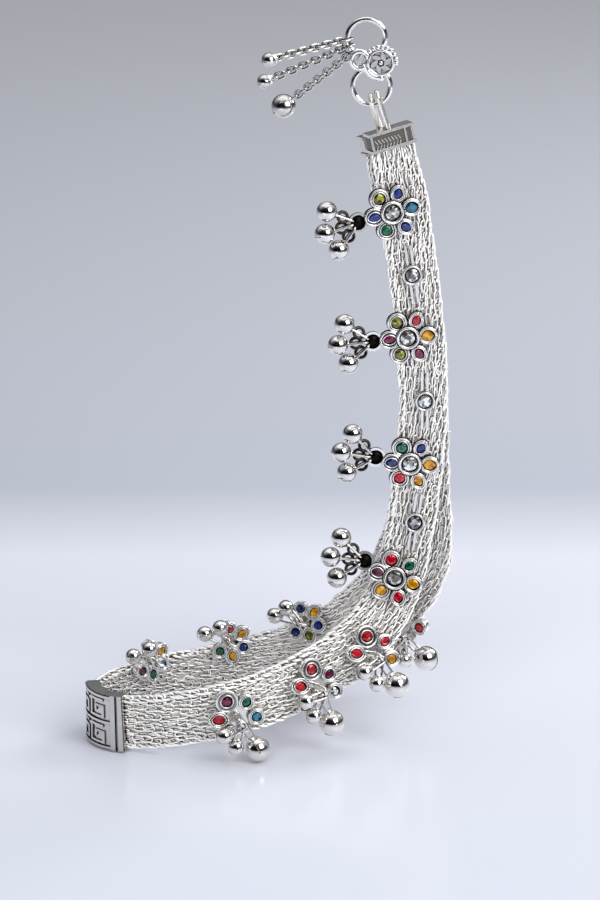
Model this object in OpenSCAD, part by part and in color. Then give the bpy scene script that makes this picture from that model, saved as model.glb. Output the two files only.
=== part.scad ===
// Anklet of woven silver chain with flowers of bright stones and small round bells.
// Millimetres, +Z up, -Y towards the front. The origin is the top inner edge of the upper ring,
// where the anklet hangs. Both strands drop from their end caps, turn to the left, and run to
// the fold plate, which closes the loop.

/* [Strands] */
// Thickness of the woven band over its ribs
band_t = 1.7; // [1.3:0.1:1.8]
// Depth of the grooves between the chains of the band
groove = 0.16; // [0.05:0.01:0.2]

/* [Rings] */
// Outside diameter of both rings
ring_od = 7.2; // [7:0.1:7.4]
// Wire diameter of both rings
ring_wire = 0.9; // [0.7:0.05:0.9]

/* [Flowers] */
// Distance from the flower's centre to the centre of a petal
petal_reach = 3.3; // [3.25:0.05:3.35]
// Outside radius of a full-sized petal's bezel
petal_r = 1.58; // [1.5:0.02:1.6]
// Outside radius of the centre bezel
heart_r = 2.0; // [1.9:0.05:2.05]
// Height of a bezel above the back plate
bezel_h = 0.85; // [0.7:0.05:0.9]

/* [Bells] */
// Radius of the bells beside the upright band
bell_r = 1.75; // [1.6:0.05:1.8]
// Radius of the large bells below the lower band
big_bell_r = 2.2; // [2:0.05:2.25]
// Radius of the small bells below the lower band
small_bell_r = 1.4; // [1.2:0.05:1.4]
// Radius of the wire that a bell's loop is bent from
loop_wire = 0.21; // [0.16:0.01:0.21]

/* [Hidden] */
$fn = 32;

silver = "#d9dadb";
bright = "#eceded";
gap = 0.12;
plate_t = 0.5;

// Stations of a strand, from its end cap to the fold. The tilt turns the width down on the
// right, from level at 0 to upright at 90, and the yaw turns its right end away from the front.
// columns:     x      y      z     width  tilt  yaw
FRONT = [
    [  4.2,   0.0,  -20.4,   6.7,  -11,   20],
    [  6.1,   0.1,  -29.0,   7.7,  -10,   14],
    [  7.5,   0.0,  -38.5,   7.8,   -8,   10],
    [  8.7,   0.0,  -47.0,   7.8,   -6,    8],
    [  9.6,   0.0,  -56.0,   7.8,   -4,    6],
    [ 10.1,   0.0,  -65.0,   7.8,   -1,    5],
    [  9.8,   0.0,  -73.0,   7.8,    3,    4],
    [  9.0,   0.0,  -80.5,   7.8,    6,    2],
    [  8.2,   0.0,  -87.5,   7.8,    8,    0],
    [  6.9,  -0.4,  -94.4,   7.9,   14,    0],
    [  4.8,  -1.6, -100.6,   8.3,   28,    0],
    [  1.4,  -3.8, -105.8,   8.8,   44,    0],
    [ -3.6,  -7.0, -109.8,   9.0,   56,    0],
    [ -9.6, -10.7, -112.4,   9.1,   66,    0],
    [-16.8, -14.0, -114.8,   9.1,   75,    0],
    [-25.0, -16.3, -116.5,   9.1,   82,    0],
    [-33.6, -15.8, -118.2,   9.0,   88,    0],
    [-39.4, -13.8, -119.3,   8.8,   90,    0],
    [-43.6, -12.3, -119.5,   8.7,   90,    0],
    [-46.0,  -9.4, -119.5,   8.7,   90,    0],
    [-46.6,  -6.0, -119.5,   8.7,   90,    0],
];
REAR = [
    [  3.2,   3.5,  -21.6,   6.7,  -11,   20],
    [  5.3,   3.1,  -30.0,   7.6,  -10,   14],
    [  7.2,   3.0,  -38.5,   7.7,   -9,   10],
    [  8.7,   3.0,  -47.0,   7.7,   -7,    8],
    [  9.8,   3.0,  -56.0,   7.7,   -5,    6],
    [ 10.3,   3.0,  -65.0,   7.7,   -1,    5],
    [ 10.4,   3.2,  -73.0,   7.9,    2,    0],
    [ 10.3,   3.8,  -81.0,   8.8,    6,   -5],
    [  9.9,   5.0,  -88.5,  11.0,   13,   -8],
    [  9.0,   6.2,  -95.5,  13.0,   24,  -12],
    [  6.2,   8.2, -102.5,  13.5,   40,  -18],
    [  1.2,  10.6, -108.8,  13.0,   55,  -20],
    [ -5.0,  12.4, -113.6,  11.5,   66,  -16],
    [-12.5,  13.2, -116.8,  10.2,   76,  -12],
    [-20.0,  12.8, -118.6,   9.4,   84,   -8],
    [-27.5,  11.0, -119.4,   9.0,   90,   -4],
    [-34.0,   8.0, -119.5,   9.0,   90,    0],
    [-39.4,   4.4, -119.5,   8.8,   90,    0],
    [-43.7,   0.2, -119.5,   8.7,   90,    0],
    [-46.2,  -3.9, -119.5,   8.7,   90,    0],
    [-46.6,  -5.7, -119.5,   8.7,   90,    0],
];

// Smooth curve through the rows of a table, u in rows
function blend4(a, b, c, d, t) =
    0.5 * (2 * b + (c - a) * t + (2 * a - 5 * b + 4 * c - d) * t * t
        + (3 * b - a - 3 * c + d) * t * t * t);
function station(rows, u) =
    let (last = len(rows) - 1, i = max(0, min(floor(u), last - 1)))
    blend4(rows[max(i - 1, 0)], rows[i], rows[i + 1], rows[min(i + 2, last)], u - i);
function place(row) = [row[0], row[1], row[2]];
function unit(v) = v / norm(v);

// Position, direction along, direction across, outward normal and width at u
function strand_frame(rows, u) =
    let (
        last = len(rows) - 1,
        here = station(rows, u),
        along = unit(place(station(rows, min(u + 0.02, last)))
            - place(station(rows, max(u - 0.02, 0)))),
        tilt = here[4],
        yaw = here[5],
        wide = [cos(tilt) * cos(yaw), sin(yaw), -sin(tilt) * cos(yaw)],
        across = unit(wide - along * (wide * along))
    )
    [place(here), along, across, cross(along, across), here[3]];
// Point at u, a across the band from its middle and h out from its middle surface
function on_strand(rows, u, a, h) =
    let (f = strand_frame(rows, u)) f[0] + f[2] * a + f[3] * h;

// Moves its children on to the band: X across, Y back along it, Z out of the face
module seat(rows, u, across, lift, face = 1) {
    f = strand_frame(rows, u);
    x = f[2] * face;
    y = -f[1];
    z = f[3] * face;
    p = on_strand(rows, u, across, face * (band_t / 2 + lift));
    multmatrix([
        [x[0], y[0], z[0], p[0]],
        [x[1], y[1], z[1], p[1]],
        [x[2], y[2], z[2], p[2]],
        [0, 0, 0, 1]
    ]) children();
}

// Outline of the band's section: ribs of chain on both faces, in half widths and millimetres
band_ribs = 6;
function rib_side(face) =
    [for (k = [0:2 * band_ribs])
        [-1 + k / band_ribs,
            k == 0 || k == 2 * band_ribs ? face * band_t * 0.28
                : face * (band_t / 2 - (k % 2 == 0 ? groove : 0))]];
function band_section() =
    let (top = rib_side(1), low = rib_side(-1), n = len(top))
    concat(top, [for (k = [n - 1:-1:0]) low[k]]);

// Closed solid through rings of equal length, each a list of points
module skin(rings) {
    n = len(rings[0]);
    m = len(rings);
    points = [for (ring = rings) each ring];
    walls = [for (j = [0:m - 2], i = [0:n - 1])
        let (a = j * n + i, b = j * n + (i + 1) % n)
        each [[a, b, b + n], [a, b + n, a + n]]];
    faces = concat(
        walls,
        [[for (i = [n - 1:-1:0]) i]],
        [[for (i = [0:n - 1]) (m - 1) * n + i]]
    );
    polyhedron(points, faces);
}

// Band along a strand's table, up to its last station under the fold plate
strand_end = 19.94;
strand_steps = 64;
module strap(rows, u_end, steps) {
    section = band_section();
    skin([for (s = [0:steps])
        let (u = u_end * s / steps, f = strand_frame(rows, u))
        [for (q = section) f[0] + f[2] * (q[0] * f[4] / 2) + f[3] * q[1]]]);
}

module strap_front() {
    color(silver) strap(FRONT, strand_end, strand_steps);
}

module strap_rear() {
    color(silver) strap(REAR, strand_end, strand_steps);
}

// End caps
cap_w = 7.7;
cap_d = 2.5;
cap_h = 3.4;
cap_wall = 0.3;
cap_bite = 0.9;
eye_wire = 0.4;
eye_r = 0.95;
rim_out = 0.26;
rim_h = 0.5;

// Box that grips the band's end: open below, rims round top and foot, a hatched front
module cap_box(hatched) {
    difference() {
        union() {
            translate([-cap_w / 2, 0, -cap_d / 2]) cube([cap_w, cap_h, cap_d]);
            for (y = [0, cap_h - rim_h])
                translate([-cap_w / 2 - rim_out, y, -cap_d / 2 - rim_out])
                    cube([cap_w + 2 * rim_out, rim_h, cap_d + 2 * rim_out]);
            if (hatched) cap_hatching();
        }
        translate([-cap_w / 2 + cap_wall, -0.1, -cap_d / 2 + cap_wall])
            cube([cap_w - 2 * cap_wall, cap_bite + 0.2, cap_d - 2 * cap_wall]);
    }
}

// Border posts and two rows of slanted bars on the front of the cap
module cap_hatching() {
    face = cap_d / 2;
    for (x = [-cap_w / 2, cap_w / 2 - 1.6, cap_w / 2 - 0.35])
        translate([x, 0, face - 0.1]) cube([0.35, cap_h, 0.3]);
    for (row = [0, 1], k = [0:7])
        translate([-3.0 + k * 0.6, 0.72 + row * 1.05, face - 0.1])
            rotate([0, 0, row == 0 ? 62 : 118])
                translate([-0.45, -0.1, 0]) cube([0.9, 0.2, 0.24]);
}

// Point of a cap: across the band, up from its foot and out of its front
function cap_point(rows, x, y, z) =
    let (f = strand_frame(rows, 0)) f[0] + f[2] * x - f[1] * (y - cap_bite) + f[3] * z;

// Long wire loop from a foot on a cap up round the lower ring, at an angle of the ring,
// its round end the given length past the ring's wire
module long_eye(foot, angle, past) {
    hold = [lower_x + ring_r * cos(angle), 0, lower_z + ring_r * sin(angle)];
    up = unit(hold - foot);
    side = unit(cross([-sin(angle), 0, cos(angle)], up));
    out = cross(side, up);
    length = norm(hold - foot) + past;
    multmatrix([
        [side[0], up[0], out[0], foot[0]],
        [side[1], up[1], out[1], foot[1]],
        [side[2], up[2], out[2], foot[2]],
        [0, 0, 0, 1]
    ]) {
        translate([0, length, 0]) rotate_extrude(angle = 180)
            translate([eye_r, 0]) circle(eye_wire);
        for (leg = [-1, 1])
            translate([leg * eye_r, 0, 0]) rotate([-90, 0, 0]) cylinder(r = eye_wire, h = length);
    }
}

module end_cap_front() {
    color(silver) {
        seat(FRONT, 0, 0, -band_t / 2) translate([0, -cap_bite, 0]) cap_box(true);
        long_eye(cap_point(FRONT, 0.1, cap_h - 0.3, 0), -63, 1);
    }
}

module end_cap_rear() {
    color(silver) {
        seat(REAR, 0, 0, -band_t / 2) translate([0, -cap_bite, 0]) cap_box(false);
        long_eye(cap_point(REAR, 0, cap_h - 0.4, -0.2), -86, 1);
    }
}

// Fold plate: a curved plate round the fold with lips over both edges of the band
fold_from = 17.35;
fold_to = 19.95;
fold_steps = 9;
plate_in = band_t / 2 + gap;
plate_out = plate_in + 0.6;
plate_half = 4.35 + gap;
lip_t = 0.45;
lip_low = -0.7;
relief = 0.25;

// Bar that follows the strand between two stations, with the given outline across it
module bent_bar(u0, u1, steps, outline) {
    skin([for (s = [0:steps])
        [for (q = outline) on_strand(FRONT, u0 + (u1 - u0) * s / steps, q[0], q[1])]]);
}
function box_outline(a0, a1, h0, h1) = [[a0, h1], [a1, h1], [a1, h0], [a0, h0]];

// Raised line through points of the plate, each a station and a place across, with mitred turns
spiral_row = 4.2;
spiral_line = 0.42;
function heading(path, i) = unit((path[i + 1] - path[i]));
function mitre(path, i) =
    let (
        before = heading(path, max(i - 1, 0)),
        after = heading(path, min(i, len(path) - 2)),
        side = [-before[1] - after[1], before[0] + after[0]]
    )
    side * spiral_line / 2 / (1 + before * after);
module raised_line(u0, a0, path) {
    skin([for (i = [0:len(path) - 1])
        let (m = mitre(path, i), left = path[i] - m, right = path[i] + m)
        [for (q = [[left, relief], [right, relief], [right, -0.3], [left, -0.3]])
            on_strand(FRONT, u0 + q[0][0] / spiral_row, a0 + q[0][1], plate_out + q[1])]]);
}
// Square spiral in a cell of the plate, long and wide in millimetres
function square_spiral(long, wide) = [
    [0, 0], [long / 2, 0], [long, 0], [long, wide], [long / 2, wide], [0, wide],
    [0, wide * 0.36], [long * 0.58, wide * 0.36], [long * 0.58, wide * 0.68]
];

module fold_plate() {
    edge = plate_half + lip_t;
    color(silver) {
        bent_bar(fold_from, fold_to, fold_steps, [
            [-edge, plate_out], [edge, plate_out], [edge, lip_low], [plate_half, lip_low],
            [plate_half, plate_in], [-plate_half, plate_in], [-plate_half, lip_low], [-edge, lip_low]
        ]);
        for (u = [fold_from + 0.03, fold_from + 0.3])
            bent_bar(u, u + 0.17, 1,
                box_outline(-edge - 0.14, edge + 0.14, plate_in + 0.15, plate_out + 0.4));
        for (a = [-edge + 0.15, -0.2, edge - 0.55])
            bent_bar(fold_from + 0.4, fold_to - 0.04, fold_steps - 1,
                box_outline(a, a + 0.4, plate_out - 0.2, plate_out + relief + 0.07));
        for (u = [18.12, 19.02], a = [-3.85, 0.85])
            raised_line(u, a, square_spiral(2.7, 3));
    }
}

// Rings and the cast link between them
ring_r = ring_od / 2 - ring_wire / 2;
upper_z = -(ring_od / 2 - ring_wire);
lower_x = 0.9;
lower_z = -10.9;

module wire_ring(r, wire) {
    rotate_extrude() translate([r, 0]) circle(wire / 2);
}

module ring_upper() {
    color(bright) translate([0, 0, upper_z]) rotate([90, 0, 0]) wire_ring(ring_r, ring_wire);
}

module ring_lower() {
    color(bright) translate([lower_x, 0, lower_z]) rotate([90, 0, 0])
        wire_ring(ring_r, ring_wire);
}

link_x = 0.6;
link_z = -6.5;
link_front = -1.75;
button_x = 1.8;
lobe_x = -1.7;
holder_r = 0.9;
holder_wire = 0.25;
// Eyes behind the cast link, one on the wire of each ring
HOLDERS = [
    [0.5, 0, upper_z - ring_r + 0.02],
    [1.6, 0, lower_z + ring_r - 0.06],
];

// Beads on an arc round the cast link's button
module bead_arc(reach, first, step, count, r) {
    for (k = [0:count - 1])
        rotate([0, 0, first + step * k]) translate([reach, 0, -0.1]) sphere(r);
}

// Flat leaf with two points on X, from the arcs of two circles
module leaf(long, wide, h) {
    r = (long * long + wide * wide) / (2 * wide);
    intersection() {
        translate([0, r - wide, 0]) cylinder(r = r, h = h);
        translate([0, wide - r, 0]) cylinder(r = r, h = h);
    }
}

// Cast link: a pierced leaf lobe, a round button with a whorl of leaves, a beaded crest and a tail,
// with a wire eye behind it for each ring. Its face is drawn in X and Y and stood upright.
module rosette_link() {
    color(silver) {
        translate([link_x, link_front, link_z]) rotate([90, 0, 0]) {
            translate([button_x, 0, 0]) {
                translate([0, 0, -0.6]) cylinder(r = 2.15, h = 0.75);
                translate([0, 0, 0.1]) wire_ring(2.05, 0.6);
                for (k = [0:5]) rotate([0, 0, 60 * k + 10]) translate([1.12, 0, 0.1])
                    rotate([0, 0, 38]) leaf(0.85, 0.4, 0.42);
                translate([0, 0, 0.25]) sphere(0.45);
                bead_arc(2.6, 50, 17, 7, 0.46);
                bead_arc(2.55, 30, -17, 3, 0.4);
                translate([0, 0, -0.25]) rotate([0, 0, 184])
                    rotate_extrude(angle = 86) translate([2.65, 0]) circle(0.55);
                rotate([0, 0, 270]) translate([2.6, 0, -0.3]) sphere(0.66);
            }
            translate([lobe_x, 0.4, -0.2]) {
                wire_ring(1.42, 0.95);
                rotate([0, 0, 62]) translate([0, 0, -0.2]) leaf(1.5, 0.42, 0.6);
                rotate([0, 0, -38]) translate([0, 0, -0.25]) leaf(1.4, 0.28, 0.5);
            }
        }
        for (eye = HOLDERS) {
            translate(eye) rotate([0, 90, 0]) wire_ring(holder_r, 2 * holder_wire);
            translate(eye - [0, holder_r + 0.1, 0]) rotate([90, 0, 0]) cylinder(r = 0.31, h = 0.55);
        }
    }
}

// Fringe: three short chains with a bell at the end of each, hung on the upper ring
first_link_r = 0.82;
link_r = 0.6;
link_wire = 0.21;
link_leg = 0.45;
link_play = 0.13;
fringe_turn = 0.52;
link_end = link_r + link_leg / 2;
first_link_end = first_link_r + link_leg / 2;
link_pitch = 2 * (link_end - link_wire) - link_play;
link_start = first_link_end - link_wire - ring_wire / 2 - 0.1;
// columns: angle on the ring, fall of the chain, swing to the front, links, end bell radius
FRINGE = [
    [184, 10,  22, 11, 1.25],
    [206, 23,   0, 12, 1.25],
    [228, 39, -22, 12, 2.1],
];

// Distance of a link's middle along the chain, the first link being the larger
function link_at(k) =
    link_start + (k > 0 ? first_link_end - link_end + k * link_pitch : 0);

// Oval link lying along X in the plane of X and Y
module oval_link(r) {
    for (side = [-1, 1]) {
        translate([side * link_leg / 2, 0, 0]) rotate([0, 0, side * 90 - 180])
            rotate_extrude(angle = 180) translate([r, 0]) circle(link_wire);
        translate([-link_leg / 2, side * r, 0]) rotate([0, 90, 0])
            cylinder(r = link_wire, h = link_leg);
    }
}

// Frame of a fringe chain: X along the chain from the wire of the upper ring
module fringe_seat(n) {
    f = FRINGE[n - 1];
    translate([ring_r * cos(f[0]), 0, upper_z + ring_r * sin(f[0])])
        rotate([0, f[1], 180 + f[2]]) children();
}

module fringe_chain(n) {
    color(silver) fringe_seat(n) for (k = [0:FRINGE[n - 1][3] - 1])
        translate([link_at(k), 0, 0]) rotate([k % 2 == 0 ? 0 : 90, 0, 0])
            oval_link(k == 0 ? first_link_r : link_r);
}

module fringe_bell(n) {
    links = FRINGE[n - 1][3];
    r = FRINGE[n - 1][4];
    hook = link_at(links - 1) + link_end - link_wire - loop_wire + fringe_turn - 0.1;
    color(bright) fringe_seat(n) translate([hook, 0, 0])
        rotate([links % 2 == 0 ? 0 : 90, 0, 0]) bell(r, r + 0.75, fringe_turn);
}

// Round bell on a long wire loop: the loop's round end is at the origin, the bell out on +X,
// and the loop lies in the plane of X and Y
module bell(r, reach, turn) {
    leg = reach - sqrt(r * r - turn * turn) + 0.15;
    rotate([0, 0, 90]) rotate_extrude(angle = 180) translate([turn, 0]) circle(loop_wire);
    for (side = [-1, 1])
        translate([0, side * turn, 0]) rotate([0, 90, 0]) cylinder(r = loop_wire, h = leg);
    translate([reach, 0, 0]) sphere(r);
}

// Bezels with a clear stone on the middle of the upright band, each with two smooth strips
// columns:  station, across
BEZELS = [
    [ 2.53, -0.5],
    [ 5.04, 0.1],
    [ 7.95, 0.56],
];
round_bezel_r = 1.65;
strip_end = 5.1;

module centre_bezel(n) {
    b = BEZELS[n - 1];
    color(bright) seat(FRONT, b[0], b[1], gap) {
        difference() {
            cylinder(r = round_bezel_r, h = 0.95);
            translate([0, 0, 0.3]) cylinder(r = round_bezel_r - 0.3, h = 1);
        }
        for (side = [-1, 1], end = [-1, 1])
            translate([side * 0.45 - 0.2, end > 0 ? 1.2 : -strip_end, 0.12])
                cube([0.4, strip_end - 1.2, 0.32]);
    }
}

// Motifs, each a flower with its bells. Strand 0 is the front one, 1 the rear one.
// The spin turns the petals, the bells' angle is where they point, both from the band's
// right hand. Kind 0 has six petals and a cup at the side, and kinds 1, 2 and 3 have five
// petals and an eye: large, small, and large with two bells.
// Stones are numbered as in STONE_NAMES, petal by petal.
// columns: strand, station, across, face, kind, spin, bells' angle, fan, lift, stones
MOTIFS = [
    [0,  1.28, -2.7,  1, 0, 184, 186, 188, 0.25, [1, 3, 1, 2, 1, 7]],
    [0,  3.74, -2.4,  1, 0, 180, 180, 180, 0.17, [5, 7, 5, 6, 4, 7]],
    [0,  6.46, -1.8,  1, 0, 182, 175, 178, 0.18, [1, 4, 6, 6, 1, 3]],
    [0,  9.48, -0.9,  1, 0, 178, 167, 191, 0.44, [5, 6, 4, 6, 3, 4]],
    [0, 11.51,  3.0,  1, 1, -20,  -4,   0, 0.38, [6, 4, 4, 4, 0]],
    [0, 13.00,  1.8,  1, 1,  -4,  -4,   0, 0.22, [0, 5, 4, 4, 0]],
    [0, 14.70,  1.2,  1, 1,  20,  20,   0, 0.12, [2, 3, 5, 4, 2]],
    [1, 10.45,  6.3,  1, 1,   4,   4,   0, 0.45, [4, 6, 4, 4, 0]],
    [1, 12.40, -4.9,  1, 2, 236, 236,   0, 0.50, [1, 7, 1, 6, 1]],
    [1, 14.43, -5.3,  1, 2, 240, 240,   0, 0.50, [3, 6, 1, 6, 4]],
    [1, 16.86, -5.1,  1, 2, 245, 245,   0, 0.30, [5, 3, 2, 6, 4]],
    [1,  3.70,  0.0, -1, 3, -90, -90,   0, 0.20, [1, 4, 3, 6, 5]],
    [1,  6.30,  0.0, -1, 3, -90, -90,   0, 0.30, [4, 3, 1, 5, 6]],
    [1,  8.80,  0.0, -1, 3, -90, -90,   0, 0.35, [3, 6, 4, 1, 4]],
];
STONE_NAMES = ["clear", "blue", "teal", "green", "red", "plum", "amber", "olive"];
STONE_COLOURS = ["#f4f6f8", "#1f3fae", "#12808c", "#0f7a45", "#c01030", "#8a1650", "#e08a10",
    "#8f9a20"];
heart_wall = 0.5;
cup_r = 1.7;
cup_reach = 6.0;
cup_h = 0.6;
cup_wall = 0.4;
eye_half = 0.75;
eye_bar = 0.27;
eye_top = 3.75;

// Bells of each kind of motif
// columns:  turn from the bells' angle, distance from the hook, radius, height, half width
CUP_BELLS = [
    [-38, 4.3, bell_r, 0, 0.62],
    [  0, 4.5, bell_r, 0, 0.62],
    [ 38, 4.2, bell_r, 0, 0.62],
];
EYE_BELLS = [
    [  0, 5.5, big_bell_r, 2.5, 0.6],
    [-46, 4.1, small_bell_r, 3.05, 0.6],
    [-94, 3.6, small_bell_r, 3.6, 0.6],
];
PAIR_BELLS = [
    [  0, 4.6, small_bell_r, 2.6, 0.6],
    [-38, 3.4, small_bell_r, 3.75, 0.6],
];
BACK_BELLS = [
    [ 14, 5.5, big_bell_r, 2.5, 0.6],
    [-30, 4.0, small_bell_r, 3.1, 0.6],
];
function bells_of(kind) = [CUP_BELLS, EYE_BELLS, PAIR_BELLS, BACK_BELLS][kind];

// Petals of a flower in order. A bezel or a stone is round where its two halves are equal, or
// else a leaf. All are shares of petal_r but the first, which is in millimetres.
// columns:  beyond petal_reach, bezel's half length, half width, stone's half length, half width
SIX_PETALS = [
    [-0.14, 0.99, 0.90, 0.66, 0.44],
    [-0.17, 0.97, 0.97, 0.60, 0.60],
    [ 0.17, 0.95, 0.76, 0.62, 0.48],
    [ 0.15, 0.97, 0.88, 0.74, 0.60],
    [ 0.03, 0.90, 0.72, 0.58, 0.46],
    [-0.08, 0.98, 0.98, 0.64, 0.64],
];
FIVE_PETALS = [
    [ 0,    0.84, 0.84, 0.54, 0.54],
    [-0.1,  0.80, 0.80, 0.58, 0.46],
    [ 0.35, 1.17, 1.17, 0.60, 0.60],
    [ 0,    1.10, 0.86, 0.70, 0.52],
    [ 0,    1.02, 0.76, 0.62, 0.44],
];
SMALL_PETALS = [
    [-0.8, 0.77, 0.77, 0.48, 0.48],
    [-0.8, 0.94, 0.74, 0.58, 0.42],
    [-0.8, 0.77, 0.77, 0.48, 0.48],
    [-0.8, 0.94, 0.74, 0.58, 0.42],
    [-0.8, 0.77, 0.77, 0.48, 0.48],
];
function petals_of(kind) = [SIX_PETALS, FIVE_PETALS, SMALL_PETALS, FIVE_PETALS][kind];

function rows_of(m) = m[0] == 0 ? FRONT : REAR;
function petal_angles(m) =
    m[4] == 0 ? [for (k = [0:5]) m[5] + 60 * k] : [for (k = [1:5]) m[5] + 60 * k];

module motif_seat(n) {
    m = MOTIFS[n - 1];
    seat(rows_of(m), m[1], m[2], m[8], m[3]) children();
}

module ring_wall(r, wall, low, high) {
    translate([0, 0, low]) difference() {
        cylinder(r = r, h = high - low);
        translate([0, 0, -1]) cylinder(r = r - wall, h = high - low + 2);
    }
}

// Solid with the outline of a bezel or a stone
module petal_solid(long, wide, h) {
    if (long > wide) leaf(long, wide, h);
    else cylinder(r = long, h = h);
}

// Bezel of a petal on its own piece of back plate, open where its stone sits
module petal_bezel(petal) {
    top = plate_t + bezel_h;
    difference() {
        petal_solid(petal[1] * petal_r, petal[2] * petal_r, top);
        translate([0, 0, plate_t])
            petal_solid(petal[3] * petal_r + stone_gap, petal[4] * petal_r + stone_gap, top);
    }
}

// Back plate, bezels and what the bells hang on, soldered together
module flower_frame(n) {
    m = MOTIFS[n - 1];
    petals = petals_of(m[4]);
    angles = petal_angles(m);
    color(silver) motif_seat(n) {
        cylinder(r = m[4] == 2 ? 1.6 : 2.2, h = plate_t);
        for (k = [0:len(petals) - 1])
            rotate([0, 0, angles[k]]) translate([petal_reach + petals[k][0], 0, 0])
                petal_bezel(petals[k]);
        if (m[4] == 0) {
            ring_wall(heart_r, heart_wall, plate_t - 0.1, plate_t + bezel_h + 0.25);
            rotate([0, 0, m[6]]) translate([cup_reach, 0, 0])
                ring_wall(cup_r, cup_wall, plate_t, plate_t + cup_h);
        } else {
            rotate([0, 0, m[6]]) standing_eye();
        }
    }
}

// Eye that stands on the flower, its two posts on X
module standing_eye() {
    for (side = [-1, 1]) translate([side * eye_half, 0, 0.2]) cylinder(r = eye_bar, h = eye_top - 0.2);
    translate([0, 0, eye_top]) rotate([90, 0, 0]) rotate_extrude(angle = 180)
        translate([eye_half, 0]) circle(eye_bar);
}

module bell_cluster(n) {
    m = MOTIFS[n - 1];
    wall_mid = cup_r - cup_wall / 2 - 0.05;
    color(bright) motif_seat(n) {
        if (m[4] == 0)
            rotate([0, 0, m[6]]) translate([cup_reach, 0, plate_t + cup_h / 2])
                for (b = bells_of(0)) rotate([0, 0, m[7] - m[6] + b[0]])
                    translate([wall_mid, 0, 0]) rotate([90, 0, 0]) bell(b[2], b[1], b[4]);
        else
            rotate([0, 0, m[6]]) translate([eye_half, 0, 0])
                for (b = bells_of(m[4])) translate([0, 0, b[3]]) rotate([0, 0, b[0]])
                    bell(b[2], b[1], b[4]);
    }
}

// Stones: a flat-backed cut stone has a girdle, eight crown facets and a table
facets = 8;
stone_gap = 0.07;
// Outline of a stone: round where both halves are equal, or else pointed at both ends of X
function outline(long, wide) =
    [for (k = [0:facets - 1])
        let (a = 360 * k / facets)
        [long * cos(a), wide * sin(a) * (long > wide ? pow(abs(sin(a)), 0.4) : 1)]];
function stone_rings(long, wide, low, girdle, top) =
    let (o = outline(long, wide))
    [for (level = [[low, 1], [girdle, 1], [top, 0.58]])
        [for (p = o) [p[0] * level[1], p[1] * level[1], level[0]]]];

// Stones of the motifs and the round bezels: each is a place on a band as rows, station,
// across, face and lift, then x, y, turn, half length and width, and the heights of its foot,
// girdle and table
function band_place(m) = [rows_of(m), m[1], m[2], m[3], m[8]];
function motif_stones(colour) =
    [for (m = MOTIFS)
        let (angles = petal_angles(m), petals = petals_of(m[4]))
        for (k = [0:len(angles) - 1])
            if (m[9][k] == colour)
                let (
                    a = angles[k],
                    reach = petal_reach + petals[k][0],
                    long = petals[k][3] * petal_r,
                    wide = petals[k][4] * petal_r
                )
                concat(band_place(m), [reach * cos(a), reach * sin(a), a, long, wide,
                    plate_t + 0.06, plate_t + 0.5, plate_t + 0.95])];
function heart_stones() =
    [for (m = MOTIFS) if (m[4] == 0)
        concat(band_place(m), [0, 0, 0, heart_r - heart_wall - stone_gap,
        heart_r - heart_wall - stone_gap, plate_t + 0.06, plate_t + 0.6, plate_t + 1.15])];
function bezel_stones() =
    [for (b = BEZELS) [FRONT, b[0], b[1], 1, gap, 0, 0, 0, 1.25, 1.25, 0.36, 0.7, 1.15]];

function placed(s) =
    let (
        f = strand_frame(s[0], s[1]),
        x = f[2] * s[3],
        y = -f[1],
        z = f[3] * s[3],
        p = on_strand(s[0], s[1], s[2], s[3] * (band_t / 2 + s[4]))
    )
    [for (ring = stone_rings(s[8], s[9], s[10], s[11], s[12])) [for (q = ring)
        let (
            u = s[5] + q[0] * cos(s[7]) - q[1] * sin(s[7]),
            v = s[6] + q[0] * sin(s[7]) + q[1] * cos(s[7])
        )
        p + x * u + y * v + z * q[2]]];

module stones(colour) {
    list = colour == 0 ? concat(motif_stones(0), heart_stones(), bezel_stones())
        : motif_stones(colour);
    color(STONE_COLOURS[colour]) for (s = list) skin(placed(s));
}

strap_front();
strap_rear();
end_cap_front();
end_cap_rear();
fold_plate();
ring_upper();
ring_lower();
rosette_link();
for (i = [1:3]) fringe_chain(i);
for (i = [1:3]) fringe_bell(i);
for (i = [1:3]) centre_bezel(i);
for (i = [1:14]) flower_frame(i);
for (i = [1:14]) bell_cluster(i);
for (i = [0:7]) stones(i);
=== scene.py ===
import math
import random
from collections import namedtuple

import bmesh
import bpy
import numpy as np
from mathutils import Matrix, Vector


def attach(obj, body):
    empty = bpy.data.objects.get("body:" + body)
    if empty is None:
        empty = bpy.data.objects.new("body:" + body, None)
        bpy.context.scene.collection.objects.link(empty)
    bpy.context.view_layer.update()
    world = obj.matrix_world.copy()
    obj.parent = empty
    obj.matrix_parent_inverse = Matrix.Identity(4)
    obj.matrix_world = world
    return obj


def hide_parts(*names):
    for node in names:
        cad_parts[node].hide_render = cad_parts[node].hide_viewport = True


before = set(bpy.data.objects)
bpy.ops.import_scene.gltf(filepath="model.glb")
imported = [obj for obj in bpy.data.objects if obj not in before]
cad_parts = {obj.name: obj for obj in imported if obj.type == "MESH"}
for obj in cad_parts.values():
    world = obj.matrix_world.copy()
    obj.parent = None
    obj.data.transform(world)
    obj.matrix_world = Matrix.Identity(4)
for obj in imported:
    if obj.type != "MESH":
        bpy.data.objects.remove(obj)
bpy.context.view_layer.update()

dice = random.Random(7)

# Lengths of the real thing are in millimetres, and MM takes them to Blender's metres.
MM = 0.001

# Camera and the surface below the anklet
camera_place = Vector((-11.08, -618.5, 114.5))
camera_pitch = 17.0
camera_lens = 150.0
floor_height = -124.75
floor_size = 6000

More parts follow.
